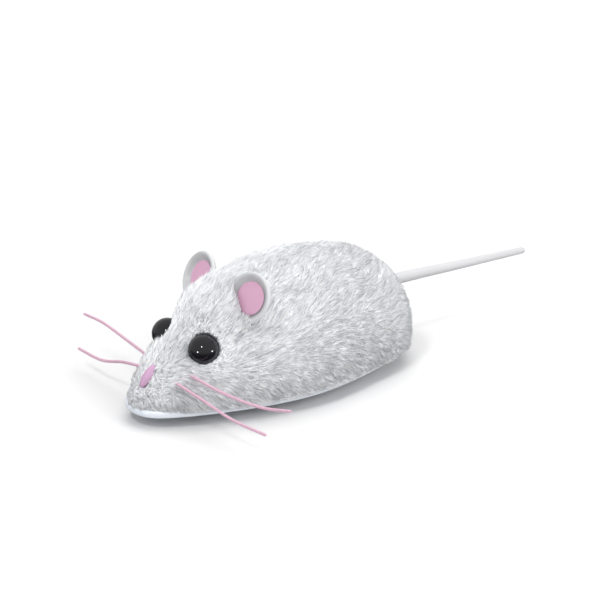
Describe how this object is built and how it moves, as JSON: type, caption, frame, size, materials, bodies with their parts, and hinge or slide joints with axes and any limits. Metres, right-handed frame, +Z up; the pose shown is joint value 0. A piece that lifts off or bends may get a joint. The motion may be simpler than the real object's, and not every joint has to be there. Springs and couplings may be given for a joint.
{
  "type": "clockwork mouse",
  "caption": "Wind-up plush toy mouse: fur cover over a moulded shell, spring movement with side key, drive wheels under a base plate.",
  "frame": {"origin": "bottom centre of the bounding box, on the floor under the wheels", "axes": "+Z up, -Y towards the nose and +Y along the tail, +X the mouse's left side"},
  "size_m": [0.085, 0.131, 0.0362],
  "materials": {
    "plush": "short white pile, combed back",
    "shell_plastic": "moulded, satin",
    "base_plastic": "moulded, soft gloss",
    "ear_plastic": "moulded, soft gloss",
    "ear_pink": "painted, satin",
    "nose_pink": "moulded, satin",
    "black_bead": "polished",
    "whisker_cord": "twisted cord, stiffened",
    "tail_vinyl": "moulded soft vinyl",
    "steel": "bright zinc plated",
    "spring_steel": "blued and oiled",
    "brass": "turned, bright",
    "nylon": "moulded, natural",
    "tyre_rubber": "moulded, matt"
  },
  "bodies": {
    "mouse": {"base_plate": "base_plastic", "body_shell": "shell_plastic", "fur_cover": "plush", "ear_left": "ear_plastic", "ear_lining_left": "ear_pink", "eye_left": "black_bead", "eye_washer_left": "steel", "frame_plate_left": "steel", "shell_screw_front_left": "steel", "frame_screw_front_left": "steel", "shell_screw_rear_left": "steel", "frame_screw_rear_left": "steel", "ear_right": "ear_plastic", "ear_lining_right": "ear_pink", "eye_right": "black_bead", "eye_washer_right": "steel", "frame_plate_right": "steel", "shell_screw_front_right": "steel", "frame_screw_front_right": "steel", "shell_screw_rear_right": "steel", "frame_screw_rear_right": "steel", "nose": "nose_pink", "whisker_left_upper": "whisker_cord", "whisker_left_lower": "whisker_cord", "whisker_right_upper": "whisker_cord", "whisker_right_lower": "whisker_cord", "tail": "tail_vinyl", "frame_pillar_front": "brass", "frame_pillar_middle": "brass", "frame_pillar_rear": "brass", "click_rivet": "brass", "click_spring": "spring_steel", "middle_pin": "steel"},
    "winder": {"winding_arbor": "steel", "winding_key": "steel", "ratchet_wheel": "steel"},
    "click": {"click": "steel"},
    "barrel": {"mainspring": "spring_steel", "spring_barrel": "brass"},
    "middle": {"middle_gear": "nylon"},
    "drive": {"drive_wheel_left": "nylon", "drive_tyre_left": "tyre_rubber", "drive_wheel_right": "nylon", "drive_tyre_right": "tyre_rubber", "drive_pinion": "brass", "drive_axle": "steel"},
    "rear_wheels": {"rear_wheel_left": "nylon", "rear_wheel_right": "nylon", "rear_axle": "steel"}
  },
  "joints": [
    {"name": "winding", "type": "hinge", "parent": "mouse", "child": "winder", "pos_m": [0, -0.00978, 0.0175], "axis": [1, 0, 0], "range_deg": [0, 2160], "deforming": ["mainspring"]},
    {"name": "click_lift", "type": "hinge", "parent": "mouse", "child": "click", "pos_m": [-0.0091, -0.00378, 0.0224], "axis": [-1, 0, 0], "range_deg": [0, 12], "stiffness_Nm_per_rad": 0.0005, "springref_deg": -5.73, "deforming": ["click_spring"]},
    {"name": "drive_turn", "type": "hinge", "parent": "mouse", "child": "drive", "pos_m": [0, -0.02906, 0.007], "axis": [1, 0, 0], "continuous": true},
    {"name": "middle_turn", "type": "hinge", "parent": "mouse", "child": "middle", "pos_m": [0, -0.02228, 0.0175], "axis": [1, 0, 0], "continuous": true},
    {"name": "barrel_turn", "type": "hinge", "parent": "mouse", "child": "barrel", "pos_m": [0, -0.00978, 0.0175], "axis": [1, 0, 0], "continuous": true, "deforming": ["mainspring"]},
    {"name": "rear_turn", "type": "hinge", "parent": "mouse", "child": "rear_wheels", "pos_m": [0, 0.00472, 0.005], "axis": [1, 0, 0], "continuous": true}
  ],
  "couplings": [
    {"joint": "middle_turn", "follows": "drive_turn", "ratio": -0.25},
    {"joint": "barrel_turn", "follows": "drive_turn", "ratio": 0.0625}
  ]
}
